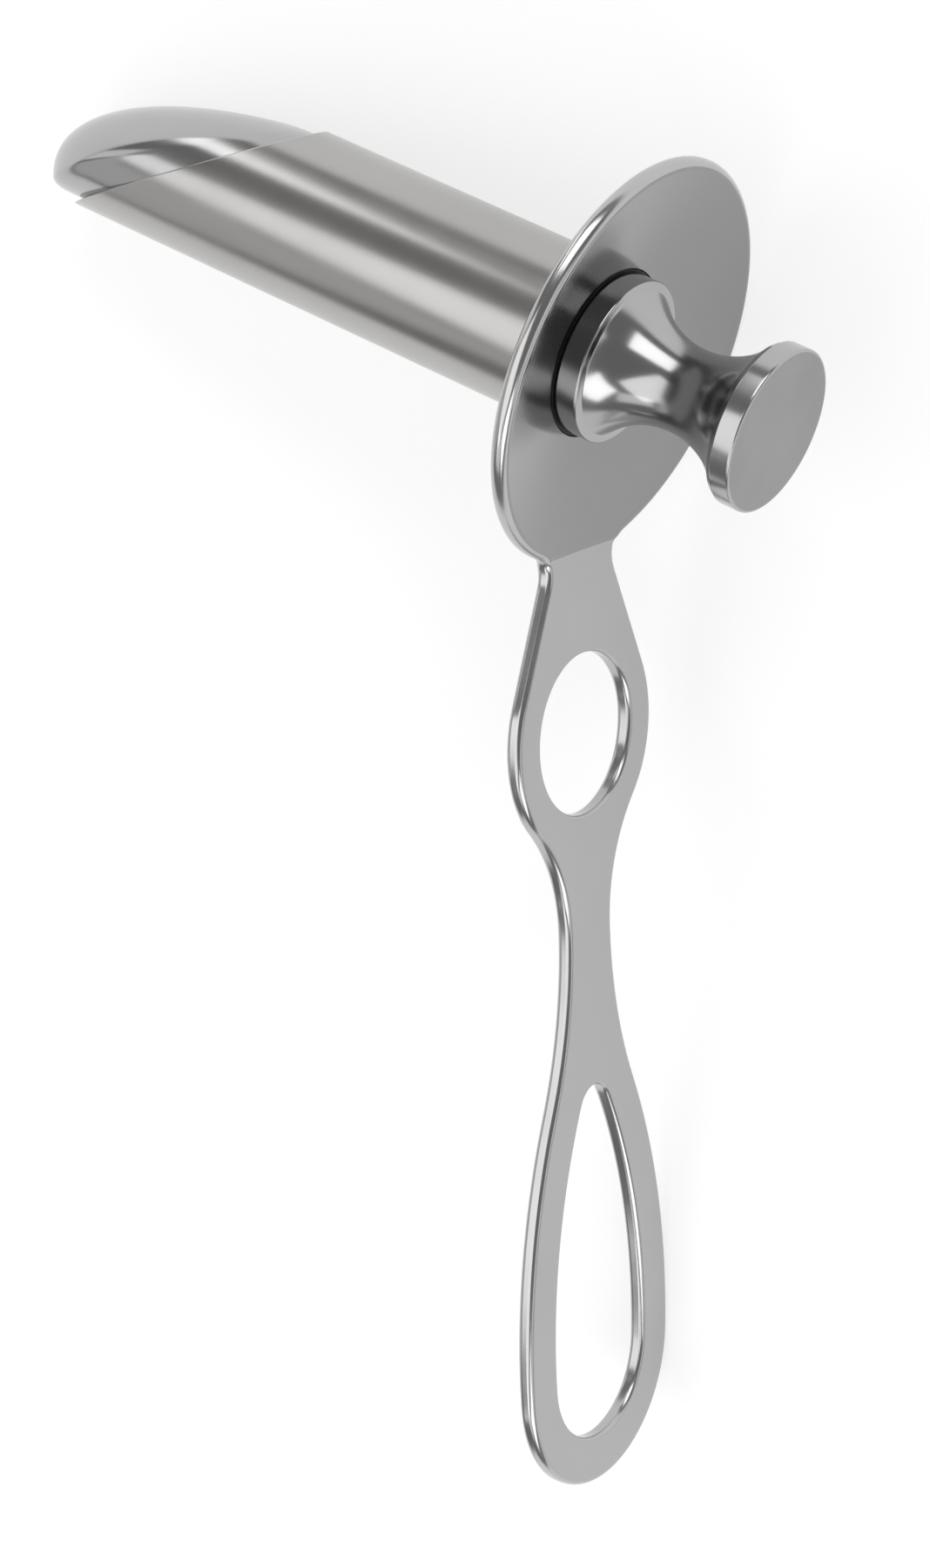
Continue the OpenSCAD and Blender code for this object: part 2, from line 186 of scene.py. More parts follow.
class ObturatorSizes(bpy.types.PropertyGroup):
    """Sizes of the obturator's nose, rod and knob"""

    fit_gap: FloatProperty(
        name="Running gap", description="Radial clearance of the obturator in the tube",
        default=0.05 * MM, unit="LENGTH")
    nose_over: FloatProperty(
        name="Nose overhang", description="How far the nose reaches past the tube's tip",
        default=5.36 * MM, unit="LENGTH")
    nose_length: FloatProperty(
        name="Nose length", description="Length of the nose's domed part",
        default=54.5 * MM, unit="LENGTH")
    nose_drop: FloatProperty(
        name="Nose drop", description="Dome's axis below the tube's axis",
        default=7 * MM, unit="LENGTH")
    nose_crown: FloatProperty(
        name="Nose crown", description="Dome's start above the bore's wall",
        default=0.6 * MM, unit="LENGTH")
    nose_fullness: FloatProperty(
        name="Nose fullness", description="2 makes the dome an ellipse, more makes it blunter",
        default=2)
    nose_round: FloatProperty(
        name="Nose rounding", description="Rounding of the nose's side edges at its tip",
        default=0.9 * MM, unit="LENGTH")
    nose_ease: FloatProperty(
        name="Nose ease", description="How much the nose's tip is smaller than the bore",
        default=0.1 * MM, unit="LENGTH")
    guide_length: FloatProperty(
        name="Guide length", description="Length of the round guide behind the dome",
        default=14 * MM, unit="LENGTH")
    rod_diameter: FloatProperty(
        name="Rod diameter", description="Rod between the nose and the knob",
        default=8 * MM, unit="LENGTH")
    rod_depth: FloatProperty(
        name="Rod depth", description="How deep the rod is screwed in at each end",
        default=9 * MM, unit="LENGTH")
    collar_diameter: FloatProperty(
        name="Collar diameter", description="Diameter of the stop collar",
        default=24.2 * MM, unit="LENGTH")
    collar_thickness: FloatProperty(
        name="Collar thickness", description="Thickness of the stop collar",
        default=3.7 * MM, unit="LENGTH")
    knob_edge: FloatProperty(
        name="Knob edge", description="Rounding of the knob's turned edges",
        default=0.5 * MM, unit="LENGTH")
    spigot_length: FloatProperty(
        name="Spigot length", description="Length of the spigot inside the tube",
        default=3 * MM, unit="LENGTH")
    spool_waist_diameter: FloatProperty(
        name="Spool waist", description="Diameter of the spool's waist",
        default=12.4 * MM, unit="LENGTH")
    spool_waist_position: FloatProperty(
        name="Spool waist position", description="From the mouth to the spool's waist",
        default=14.2 * MM, unit="LENGTH")
    spool_radius: FloatProperty(
        name="Spool radius", description="Radius of the spool's hollow",
        default=14 * MM, unit="LENGTH")
    disc_diameter: FloatProperty(
        name="End disc", description="Diameter of the end disc",
        default=24.2 * MM, unit="LENGTH")
    disc_thickness: FloatProperty(
        name="End disc thickness", description="Thickness of the end disc",
        default=3.2 * MM, unit="LENGTH")
    knob_length: FloatProperty(
        name="Knob length", description="From the mouth to the end face",
        default=29.1 * MM, unit="LENGTH")


class SteelFinish(bpy.types.PropertyGroup):
    """Colours and roughness of the steel"""

    plate_colour: FloatVectorProperty(
        name="Plate", description="Polished plate of the flange and handle",
        default=hex_colour("afaeae"), size=3, subtype="COLOR", min=0, max=1)
    # Set darker than the plate's colour; the knob's end face uses it too
    dish_colour: FloatVectorProperty(
        name="Dish", description="Satin polished dish of the flange",
        default=hex_colour("959494"), size=3, subtype="COLOR", min=0, max=1)
    tube_colour: FloatVectorProperty(
        name="Tube", description="Lengthwise polished tube",
        default=hex_colour("afaeac"), size=3, subtype="COLOR", min=0, max=1)
    knob_colour: FloatVectorProperty(
        name="Knob", description="Mirror polished knob and nose",
        default=hex_colour("aeaeae"), size=3, subtype="COLOR", min=0, max=1)
    braze_colour: FloatVectorProperty(
        name="Braze", description="Silver braze behind the flange",
        default=hex_colour("b8b4a8"), size=3, subtype="COLOR", min=0, max=1)
    plate_roughness: FloatProperty(
        name="Plate roughness", description="Roughness of the plate's faces",
        default=0.22, min=0, max=1, subtype="FACTOR")
    dish_roughness: FloatProperty(
        name="Dish roughness", description="Roughness of the flange's dish",
        default=0.14, min=0, max=1, subtype="FACTOR")
    tube_roughness: FloatProperty(
        name="Tube roughness", description="Roughness of the tube",
        default=0.22, min=0, max=1, subtype="FACTOR")
    knob_roughness: FloatProperty(
        name="Knob roughness", description="Roughness of the knob's spool",
        default=0.17, min=0, max=1, subtype="FACTOR")


class StudioSettings(bpy.types.PropertyGroup):
    """Camera, floor and lamps"""

    lens: FloatProperty(
        name="Lens", description="Focal length on a 36 mm high picture",
        default=90.643, unit="CAMERA")
    floor_radius: FloatProperty(
        name="Floor radius", description="Radius of the paper floor",
        default=6.0, unit="LENGTH")
    floor_colour: FloatVectorProperty(
        name="Floor", description="Colour of the paper floor",
        default=hex_colour("b8b8b8"), size=3, subtype="COLOR", min=0, max=1)
    horizon_colour: FloatVectorProperty(
        name="Horizon", description="Colour of the room beyond the floor",
        default=hex_colour("f0f0f0"), size=3, subtype="COLOR", min=0, max=1)
    room_colour: FloatVectorProperty(
        name="Room", description="Colour of the dim room above the floor",
        default=hex_colour("878686"), size=3, subtype="COLOR", min=0, max=1)
    floor_glow: FloatProperty(
        name="Floor glow", description="What lifts the lit floor to white in the picture",
        default=0.6, min=0, max=1)


def own_axes():
    """Placing of the instrument's own axes, from the slide, the finger hole and the knob's end."""
    mounts = {m["name"]: m for m in frame["record"]["mounts"]}
    y = -Vector(frame["joints"][0]["axis"]).normalized()
    x = y.cross(Vector(mounts["finger_hole"]["axis"])).normalized()
    z = x.cross(y)
    turn = Matrix((x, y, z)).transposed().to_4x4()
    knob_end = Vector(mounts["knob_end"]["pos_m"])
    return Matrix.Translation(knob_end - turn @ Vector((0, knob_end_y(), 0))) @ turn


# Places along the tube that several pieces share


def fold_radius():
    s = bpy.context.scene.speculum_sizes
    return s.flange_diameter / 2 - s.plate_thickness / 2 * (1 + math.sin(s.dish_angle))


def mouth_y():
    s = bpy.context.scene.speculum_sizes
    return (fold_radius() - s.tube_diameter / 2 - BRAZE_GAP) * math.tan(s.dish_angle)


def tip_y():
    return mouth_y() + bpy.context.scene.speculum_sizes.tube_length


def knob_end_y():
    return mouth_y() - bpy.context.scene.obturator_sizes.knob_length


def obturator_radius():
    s = bpy.context.scene.speculum_sizes
    return s.tube_diameter / 2 - s.tube_wall - bpy.context.scene.obturator_sizes.fit_gap


# Drawing helpers


def smooth_step(x):
    x = np.clip(x, 0, 1)
    return x * x * (3 - 2 * x)


def unit(v):
    return v / np.maximum(np.linalg.norm(v, axis=-1, keepdims=True), 1e-12)


def bearing(p):
    return math.atan2(p[1], p[0])


def arc(centre, radius, start, end, count=64):
    """Points of a circle's arc between two bearings in radians."""
    a = np.linspace(start, end, count)
    return np.array(centre) + radius * np.c_[np.cos(a), np.sin(a)]


def even_loop(points, spacing, soften):
    """A closed outline with evenly spaced points, its corners softened over a length."""
    loop = np.vstack([points, points[:1]])
    step = np.linalg.norm(np.diff(loop, axis=0), axis=1)
    along = np.r_[0, np.cumsum(step)]
    count = int(along[-1] / spacing)
    at = np.arange(count) * along[-1] / count
    loop = np.c_[np.interp(at, along, loop[:, 0]), np.interp(at, along, loop[:, 1])]
    for _ in range(int(2 * (soften / spacing) ** 2)):
        loop = loop / 2 + (np.roll(loop, 1, 0) + np.roll(loop, -1, 0)) / 4
    return loop


def outward(loop, hole):
    """Unit normals of a closed outline that point out of the plate, into a hole where it is one."""
    along = np.roll(loop, -1, 0) - np.roll(loop, 1, 0)
    normal = unit(np.c_[along[:, 1], -along[:, 0]])
    x, y = loop.T
    clockwise = np.sum(x * np.roll(y, -1) - y * np.roll(x, -1)) < 0
    return -normal if clockwise != hole else normal


def is_inside(points, loop):
    """Which points lie inside a closed outline."""
    x, y = points[:, 0:1], points[:, 1:2]
    x0, y0 = loop.T
    x1, y1 = np.roll(loop, -1, 0).T
    crosses = (y0 > y) != (y1 > y)
    at = x0 + (y - y0) * (x1 - x0) / np.where(y1 == y0, 1e-12, y1 - y0)
    return np.sum(crosses & (x < at), axis=1) % 2 == 1


def loft(rows, ring=False):
    """Points, faces and normals of a skin over closed rows; ring joins the last to the first."""
    count, sides = rows.shape[:2]
    down = np.roll(rows, -1, 0) - np.roll(rows, 1, 0)
    if not ring:
        down[0], down[-1] = rows[1] - rows[0], rows[-1] - rows[-2]
    across = np.roll(rows, -1, 1) - np.roll(rows, 1, 1)
    normals = unit(np.cross(down, across))
    shut = [np.ptp(row, axis=0).max() < 1e-9 for row in rows]
    for end, beside in ((0, 1), (count - 1, count - 2)):
        if shut[end]:
            normals[end] = unit(normals[beside].mean(0))
    faces = []
    for i in range(count if ring else count - 1):
        a, b = i * sides, (i + 1) % count * sides
        for j in range(sides):
            k = (j + 1) % sides
            if shut[i]:
                faces.append((a + j, b + k, b + j))
            elif shut[(i + 1) % count]:
                faces.append((a + j, a + k, b + j))
            else:
                faces.append((a + j, a + k, b + k, b + j))
    points, normals = rows.reshape(-1, 3), normals.reshape(-1, 3)
    spread = np.array([(f[0], f[1], f[-1]) for f in faces])
    p, q, r = points[spread[:, 0]], points[spread[:, 1]], points[spread[:, 2]]
    facing = np.cross(q - p, r - p)
    if np.sum(facing * (p - points.mean(0))) < 0:
        faces, facing = [f[::-1] for f in faces], -facing
    if np.sum(facing * normals[spread[:, 0]]) < 0:
        normals = -normals
    return points, faces, normals


def turned(profile, sides=256):
    """Rows of a body turned about the tube's axis, from a profile of (radius, y)."""
    a = np.arange(sides) * 2 * math.pi / sides
    r, y = np.array(profile).T
    across, up = r[:, None] * np.cos(a), r[:, None] * np.sin(a)
    return np.stack([across, np.repeat(y[:, None], sides, 1), up], axis=2)


def corner(before, point, after, size, count=7):
    """A profile's corner rounded over a length, as a short curve."""
    before, point, after = map(np.array, (before, point, after))
    start = point + size * unit(before - point)
    end = point + size * unit(after - point)
    t = np.linspace(0, 1, count)[:, None]
    return (1 - t) ** 2 * start + 2 * t * (1 - t) * point + t * t * end


def add_piece(name, points, faces, normals, materials, face_materials=None):
    """A smooth mesh, drawn in the instrument's own axes and laid down in the frame."""
    axes = np.array(own_axes())
    points = points @ axes[:3, :3].T + axes[:3, 3]
    normals = normals @ axes[:3, :3].T
    mesh = bpy.data.meshes.new(name)
    mesh.from_pydata(points.tolist(), [], faces)
    for material in materials:
        mesh.materials.append(material)
    if face_materials is not None:
        mesh.polygons.foreach_set("material_index", np.array(face_materials, np.int32))
    mesh.polygons.foreach_set("use_smooth", np.ones(len(faces), bool))
    mesh.update()
    mesh.normals_split_custom_set_from_vertices(normals.tolist())
    piece = bpy.data.objects.new(name, mesh)
    bpy.context.scene.collection.objects.link(piece)
    return piece


def stand_for(piece, body, node):
    """The piece moves with its body and takes the place of its CAD node."""
    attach(piece, body)
    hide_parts(node)


# Materials


def add_node(tree, kind, settings, links=None):
    """A node with its settings, by attribute or input, and links by input."""
    node = tree.nodes.new(kind)
    for key, value in settings.items():
        if isinstance(key, str) and key in node.bl_rna.properties:
            setattr(node, key, value)
        else:
            node.inputs[key].default_value = value
    for key, source in (links or {}).items():
        tree.links.new(source, node.inputs[key])
    return node


def new_material(name):
    old = bpy.data.materials.get(name)
    if old:
        return old, None
    material = bpy.data.materials.new(name)
    material.use_nodes = True
    material.node_tree.nodes.clear()
    return material, material.node_tree


def own_place(tree):
    """Place on the piece in the instrument's own axes, in metres."""
    axes = own_axes()
    place = add_node(tree, "ShaderNodeTexCoord", {})
    own = add_node(tree, "ShaderNodeMapping", {"vector_type": "TEXTURE",
        "Location": axes.to_translation(), "Rotation": axes.to_euler()},
        {"Vector": place.outputs["Object"]})
    return own.outputs["Vector"]


def finish_steel(tree, colour, roughness, patches, lines, spread, depth):
    """Steel whose roughness and tone follow soft patches and fine polishing lines."""
    dull = add_node(tree, "ShaderNodeMapRange", {
        "From Min": 0.3, "From Max": 0.7,
        "To Min": roughness * (1 - spread), "To Max": roughness * (1 + spread)},
        {"Value": patches.outputs["Fac"]})
    # The lines add up to an eighth to the roughness
    lined = add_node(tree, "ShaderNodeMath", {"operation": "MULTIPLY_ADD", 1: roughness * 0.12},
        {0: lines.outputs["Fac"], 2: dull.outputs["Result"]})
    dark = tuple(c * 0.94 for c in colour)
    tone = add_node(tree, "ShaderNodeMix", {"data_type": "RGBA"}, {0: patches.outputs["Fac"]})
    tone.inputs[6].default_value = (*colour, 1)
    tone.inputs[7].default_value = (*dark, 1)
    bump = add_node(tree, "ShaderNodeBump", {"Strength": 0.25, "Distance": depth},
        {"Height": lines.outputs["Fac"]})
    steel = add_node(tree, "ShaderNodeBsdfPrincipled", {"Metallic": 1.0}, {
        "Base Color": tone.outputs[2], "Roughness": lined.outputs[0],
        "Normal": bump.outputs["Normal"]})
    add_node(tree, "ShaderNodeOutputMaterial", {}, {"Surface": steel.outputs[0]})


def rubbed_steel(name, colour, roughness, marks, patch_scale, spread, depth, detail=2.0):
    """Steel under polishing marks, so many to a metre: one number, or three along x, y and z."""
    material, tree = new_material(name)
    if tree:
        place, scale = own_place(tree), marks
        over = place
        if isinstance(marks, tuple):
            grain = add_node(tree, "ShaderNodeMapping", {"Scale": marks}, {"Vector": place})
            over, scale = grain.outputs["Vector"], 1.0
        lines = add_node(tree, "ShaderNodeTexNoise", {"Scale": scale, "Detail": detail},
            {"Vector": over})
        patches = add_node(tree, "ShaderNodeTexNoise", {"Scale": patch_scale, "Detail": 2.0},
            {"Vector": place})
        finish_steel(tree, colour, roughness, patches, lines, spread, depth)
    return material


def polished_plate():
    """Belt polished, buffed stainless plate: a soft reflection, faint lines down the handle."""
    finish = bpy.context.scene.steel_finish
    # Grit lines 0.3 mm apart and about 12 mm long, over buffing patches about 15 mm across
    return rubbed_steel("polished_stainless_plate", finish.plate_colour, finish.plate_roughness,
        (3300, 3300, 80), 65.0, 0.12, 4e-6)


def darker_toned_dish():
    """Dish of the flange, polished with a finer wheel after pressing, without lines; its colour is
    set darker than the handle's.
    """
    finish = bpy.context.scene.steel_finish
    # Wheel marks about 1 mm across, too fine to show as single lines
    return rubbed_steel("darker_toned_dish_steel", finish.dish_colour, finish.dish_roughness,
        1000.0, 70.0, 0.1, 5e-7)


def buffed_edge_with_sheen():
    """Edges of the plate after the buffing wheel: sharper than the faces, and painted brighter as a
    sheen.
    """
    finish = bpy.context.scene.steel_finish
    # Painted sheen: the edges' colour is lifted by 12 % over the plate's
    colour = tuple(min(1, c * 1.12) for c in finish.plate_colour)
    # Small rub marks about 0.8 mm across
    return rubbed_steel("buffed_edge_painted_sheen", colour, finish.plate_roughness * 0.8,
        1250.0, 120.0, 0.2, 2e-6, detail=1.0)


def drawn_tube():
    """Drawn stainless tube polished lengthwise: long soft streaks of light."""
    finish = bpy.context.scene.steel_finish
    # Polishing lines 0.3 mm apart and about 40 mm long, along the tube
    return rubbed_steel("lengthwise_polished_tube", finish.tube_colour, finish.tube_roughness,
        (3300, 25, 3300), 60.0, 0.1, 3e-6)


def polished_nose():
    """Nose polished by hand over the turned bar: a soft mirror that waves slightly."""
    finish = bpy.context.scene.steel_finish
    # Waves about 6 mm across
    return rubbed_steel("hand_polished_nose", finish.knob_colour, finish.knob_roughness,
        160.0, 90.0, 0.15, 6e-6, detail=1.0)


def silver_braze():
    """Silver braze wiped smooth: slightly warm, uneven and duller than the steel."""
    finish = bpy.context.scene.steel_finish
    # Wiping marks about 1 mm across, in patches of 3 mm
    return rubbed_steel("wiped_silver_braze", finish.braze_colour, 0.36,
        900.0, 300.0, 0.25, 4e-5, detail=3.0)


def painted_shade_seam():
    """Joint round the mouth, painted dark and almost matt as the shade in the crease between the
    tube and the flange.
    """
    # Specks about 0.7 mm across
    return rubbed_steel("painted_shade_mouth_seam", hex_colour("353433"), 0.5,
        1400.0, 350.0, 0.2, 1e-5, detail=3.0)


def turned_steel(name, colour, roughness, pitch, depth):
    """Turned stainless bar: rings of the tool, polished until they only show in a highlight."""
    material, tree = new_material(name)
    if tree:
        place = own_place(tree)
        split = add_node(tree, "ShaderNodeSeparateXYZ", {}, {"Vector": place})
        across = add_node(tree, "ShaderNodeCombineXYZ", {}, {
            "X": split.outputs["X"], "Y": split.outputs["Z"]})
        radius = add_node(tree, "ShaderNodeVectorMath", {"operation": "LENGTH"},
            {0: across.outputs["Vector"]})
        ring = add_node(tree, "ShaderNodeCombineXYZ", {}, {
            "X": radius.outputs["Value"], "Y": split.outputs["Y"]})
        lines = add_node(tree, "ShaderNodeTexNoise", {"Scale": 1 / pitch, "Detail": 2.0},
            {"Vector": ring.outputs["Vector"]})
        patches = add_node(tree, "ShaderNodeTexNoise", {"Scale": 110.0, "Detail": 2.0},
            {"Vector": place})
        finish_steel(tree, colour, roughness, patches, lines, 0.15, depth)
    return material


def mirror_steel():
    """Mirror polished knob: near-black bands and white streaks side by side."""
    finish = bpy.context.scene.steel_finish
    return turned_steel("mirror_polished_knob", finish.knob_colour, finish.knob_roughness,
        0.5 * MM, 8e-7)


def satin_face():
    """Faced end of the knob: an even satin with faint rings 0.4 mm apart."""
    finish = bpy.context.scene.steel_finish
    return turned_steel("satin_faced_end", finish.dish_colour, 0.3, 0.4 * MM, 4e-6)


def ground_rod():
    """Centreless ground rod: fine rings and a duller grey."""
    finish = bpy.context.scene.steel_finish
    return turned_steel("ground_stainless_rod", finish.tube_colour, 0.28, 0.3 * MM, 4e-6)


# Plate of the flange and the handle, in blank coordinates: u across, v down from the fold


def plate_point(blank):
    """Front face over blank points: a dish above the fold and a flat handle below it."""
    s = bpy.context.scene.speculum_sizes
    fold = fold_radius()
    u, v = blank.T
    z = -fold - np.where(v < 0, v, v * math.cos(s.handle_tilt))
    dish = (fold - np.hypot(u, z)) * math.tan(s.dish_angle)
    flat = (z + fold) * math.tan(s.handle_tilt)
    bent = smooth_step(v / s.fold_width + 0.5)
    return np.c_[u, dish + (flat - dish) * bent, z]


def plate_normal(blank):
    """Unit normal of the front face, towards the user."""
    step = 0.05 * MM
    across = plate_point(blank + [step, 0]) - plate_point(blank - [step, 0])
    down = plate_point(blank + [0, step]) - plate_point(blank - [0, step])
    normal = unit(np.cross(across, down))
    return normal * -np.sign(normal[:, 1:2])


def plate_outline():
    """Outline of the blank: the flange's circle, the neck, the eye, the waist and the loop."""
    s = bpy.context.scene.speculum_sizes
    fold = fold_radius()
    rim = fold + s.plate_thickness / 2
    eye_r, waist_r = s.eye_width / 2, s.waist_width / 2
    side_u = s.loop_width / 2 - s.loop_side_radius
    fillet_u = s.neck_width / 2 + s.neck_fillet
    flange = np.array([0, -fold])
    fillet = np.array([fillet_u, math.sqrt((rim + s.neck_fillet) ** 2 - fillet_u**2) - fold])
    eye = np.array([0, s.hole_position])
    side = np.array([side_u, s.loop_position])
    drop = s.waist_position - s.hole_position
    upper_r = (drop**2 + waist_r**2 - eye_r**2) / (2 * (eye_r - waist_r))
    rise = s.loop_position - s.waist_position
    lower_r = (rise**2 + (waist_r - side_u) ** 2 - s.loop_side_radius**2) / (
        2 * (s.loop_side_radius - waist_r + side_u))
    upper = np.array([waist_r + upper_r, s.waist_position])
    lower = np.array([waist_r + lower_r, s.waist_position])
    end_r = end_radius(s.handle_length, s.loop_side_radius)
    end = np.array([0, s.handle_length - end_r])
    neck = np.array([s.neck_width / 2, s.neck_length])
    reach = np.linalg.norm(neck - eye)
    flare = bearing(neck - eye) + math.acos(eye_r / reach)
    to_fillet = bearing(fillet - flange)
    half = np.vstack([
        arc(flange, rim, -math.pi / 2, to_fillet, 200),
        arc(fillet, s.neck_fillet, to_fillet + math.pi, math.pi, 24),
        neck[None],
        arc(eye, eye_r, flare, bearing(upper - eye)),
        arc(upper, upper_r, bearing(upper - eye) + math.pi, math.pi),
        arc(lower, lower_r, math.pi, bearing(side - lower)),
        arc(side, s.loop_side_radius, bearing(lower - side), bearing(end - side)),
        arc(end, end_r, bearing(end - side), math.pi / 2),
    ])
    return np.vstack([half, half[-2:0:-1] * [-1, 1]])


def end_radius(end, side_radius):
    """Radius of the round end that reaches v = end and touches the loop's long sides."""
    s = bpy.context.scene.speculum_sizes
    side_u = s.loop_width / 2 - s.loop_side_radius
    rest = end - s.loop_position
    return (side_radius**2 - side_u**2 - rest**2) / (2 * (side_radius - rest))


def slot_outline():
    """Teardrop opening of the loop."""
    s = bpy.context.scene.speculum_sizes
    side_u = s.loop_width / 2 - s.loop_side_radius
    side_r = s.loop_side_radius - s.loop_bar
    top_r = s.slot_top_diameter / 2
    top = np.array([0, s.loop_position - math.sqrt((side_r - top_r) ** 2 - side_u**2)])
    end_v = s.handle_length - s.loop_end_bar
    end_r = end_radius(end_v, side_r)
    end = np.array([0, end_v - end_r])
    side = np.array([side_u, s.loop_position])
    half = np.vstack([
        arc(top, top_r, -math.pi / 2, bearing(top - side)),
        arc(side, side_r, bearing(top - side), bearing(end - side)),
        arc(end, end_r, bearing(end - side), math.pi / 2),
    ])
    return np.vstack([half, half[-2:0:-1] * [-1, 1]])


def build_plate():
    """Flange and handle as one sheet: front face, back face and the edge rounds between them."""
    s = bpy.context.scene.speculum_sizes
    fold, thick = fold_radius(), s.plate_thickness
    bore_r = s.tube_diameter / 2 + BRAZE_GAP
    circle = 2 * math.pi
    # Outline, whether it is a hole, and the length that softens its corners; the bore is last
    outlines = [
        (plate_outline(), False, 0.9 * MM),
        (slot_outline(), True, 0.3 * MM),
        (arc((0, s.hole_position), s.hole_diameter / 2, 0, circle, 400)[:-1], True, 0),
        (arc((0, -fold), bore_r, 0, circle, 400)[:-1], True, 0),
    ]
    bore = len(outlines) - 1
    loops, rounds = [], []
    for number, (outline, hole, soften) in enumerate(outlines):
        loop = even_loop(outline, 0.36 * MM, soften)
        if number == 0:
            # Almost a full round on the flange's rim, which eases into the handle's edge
            flange_edge = thick / 2 * 0.985
            share = smooth_step(loop[:, 1] / (5 * MM) + 0.4)
            edge = flange_edge + (s.handle_edge - flange_edge) * share
        else:
            edge = np.full(len(loop), MOUTH_ROUND if number == bore else s.opening_edge)
        loops.append(loop - outward(loop, hole) * edge[:, None])
        rounds.append(edge)
    border = np.vstack(loops)
    # Points inside the plate: an even grid, with closer rows across the fold
    pitch = 1.3 * MM
    rows = np.arange(-2 * fold, s.handle_length, pitch * 0.866)
    grid = np.array([
        (u + (pitch / 2 if i % 2 else 0), v)
        for i, v in enumerate(rows)
        for u in np.arange(-fold - pitch, fold + pitch, pitch)])
    grid = grid[np.abs(grid[:, 1]) > 1.5 * MM]
    across = np.arange(-14 * MM, 14 * MM, 0.5 * MM)
    bend = np.array([(u, v * MM) for v in np.linspace(-1.2, 1.2, 9) for u in across])
    inner = np.vstack([grid, bend])
    keep = is_inside(inner, loops[0])
    for loop in loops[1:]:
        keep &= ~is_inside(inner, loop)
    inner = inner[keep]
    gaps = np.array([np.min(np.sum((border - p) ** 2, axis=1)) for p in inner])
    inner = inner[gaps > (0.22 * MM) ** 2]
    blank = np.vstack([border, inner])
    edges, start = [], 0
    for loop in loops:
        n = len(loop)
        edges += [(start + i, start + (i + 1) % n) for i in range(n)]
        start += n
    made = delaunay_2d_cdt([Vector(p) for p in (blank / MM).tolist()], edges, [], 0, 1e-5, True)
    if len(made[0]) != len(blank):
        raise RuntimeError("the plate's outlines touch each other")
    source = [ids[0] for ids in made[3]]
    triangles = np.array([[source[i] for i in face] for face in made[2]])
    middle = blank[triangles].mean(axis=1)
    keep = is_inside(middle, loops[0])
    for loop in loops[1:]:
        keep &= ~is_inside(middle, loop)
    triangles = triangles[keep]
    front, normal = plate_point(blank), plate_normal(blank)
    corners = front[triangles]
    facing = np.cross(corners[:, 1] - corners[:, 0], corners[:, 2] - corners[:, 0])
    wrong = np.sum(facing * normal[triangles[:, 0]], axis=1) < 0
    triangles[wrong] = triangles[wrong][:, ::-1]
    points = [front, front - thick * normal]
    normals = [normal, -normal]
    total = len(blank)
    faces = triangles.tolist() + (triangles[:, ::-1] + total).tolist()
    above_fold = blank[triangles].mean(axis=1)[:, 1] < 0
    face_materials = 2 * np.where(above_fold, PLATE_DISH, PLATE_FACE).tolist()
    used, start = 2 * total, 0
    for number, (loop, edge) in enumerate(zip(loops, rounds)):
        n = len(loop)
        index = np.arange(start, start + n)
        p, up = front[index], normal[index]
        side = unit(np.cross(np.roll(p, -1, 0) - np.roll(p, 1, 0), up))
        ahead = plate_point(loop + outward(loop, outlines[number][1]) * 0.2 * MM) - p
        side *= np.sign(np.sum(side * ahead, axis=1))[:, None]
        rings = [index]
        turn = np.radians([15, 30, 45, 60, 75, 90])
        for a, back in [(a, False) for a in turn] + [(a, True) for a in turn[::-1]]:
            depth = edge * (1 - math.cos(a))
            if back:
                depth = thick - depth
            points.append(p + (edge * math.sin(a))[:, None] * side - depth[:, None] * up)
            normals.append(unit(math.sin(a) * side + (-1 if back else 1) * math.cos(a) * up))
            rings.append(np.arange(used, used + n))
            used += n
        rings.append(index + total)
        forward = np.roll(p, -1, 0) - p
        flip = np.sum(np.cross(forward, side) * up) > 0
        # The faces' finish runs on over the start of each round
        beside = np.where(loop[:, 1] < 0, PLATE_DISH, PLATE_FACE)
        for i, (a, b) in enumerate(zip(rings, rings[1:])):
            a1, b1 = np.roll(a, -1), np.roll(b, -1)
            quads = np.c_[a, a1, b1, b] if flip else np.c_[a, b, b1, a1]
            faces += quads.tolist()
            # The bore's round is painted dark as shade in its joint with the tube
            if number == bore:
                face_materials += [PLATE_SEAM_SHADE] * n
            elif min(i, len(rings) - 2 - i) < 2:
                face_materials += beside.tolist()
            else:
                face_materials += [PLATE_EDGE] * n
        start += n
    return np.vstack(points), faces, np.vstack(normals), face_materials


def dome_start_y():
    s, o = bpy.context.scene.speculum_sizes, bpy.context.scene.obturator_sizes
    short = tip_y() - s.tube_diameter / math.tan(s.bevel_angle)
    return min(short - DOME_BEFORE_BEVEL, tip_y() + o.nose_over - DOME_REACH)


def nose_places(y):
    """Share of the nose's length, the radii of its wall and its dome, and the dome's fall at y."""
    o = bpy.context.scene.obturator_sizes
    start, tip = dome_start_y(), tip_y() + o.nose_over
    t = np.clip((y - start) / (tip - start), 0, 1)
    wall_r = obturator_radius() - o.nose_ease * t * t
    dome_r = obturator_radius() + o.nose_drop + o.nose_crown
    along = np.clip((y - tip + o.nose_length) / o.nose_length, 0, 2) ** o.nose_fullness
    return t, wall_r, dome_r, along


def nose_centre(y):
    """Middle height of the nose's section at a place along the tube."""
    o = bpy.context.scene.obturator_sizes
    _, wall_r, dome_r, along = nose_places(y)
    top = dome_r * np.maximum(1 - along, 0) ** (1 / o.nose_fullness) - o.nose_drop
    return (np.minimum(top, wall_r) - wall_r) / 2


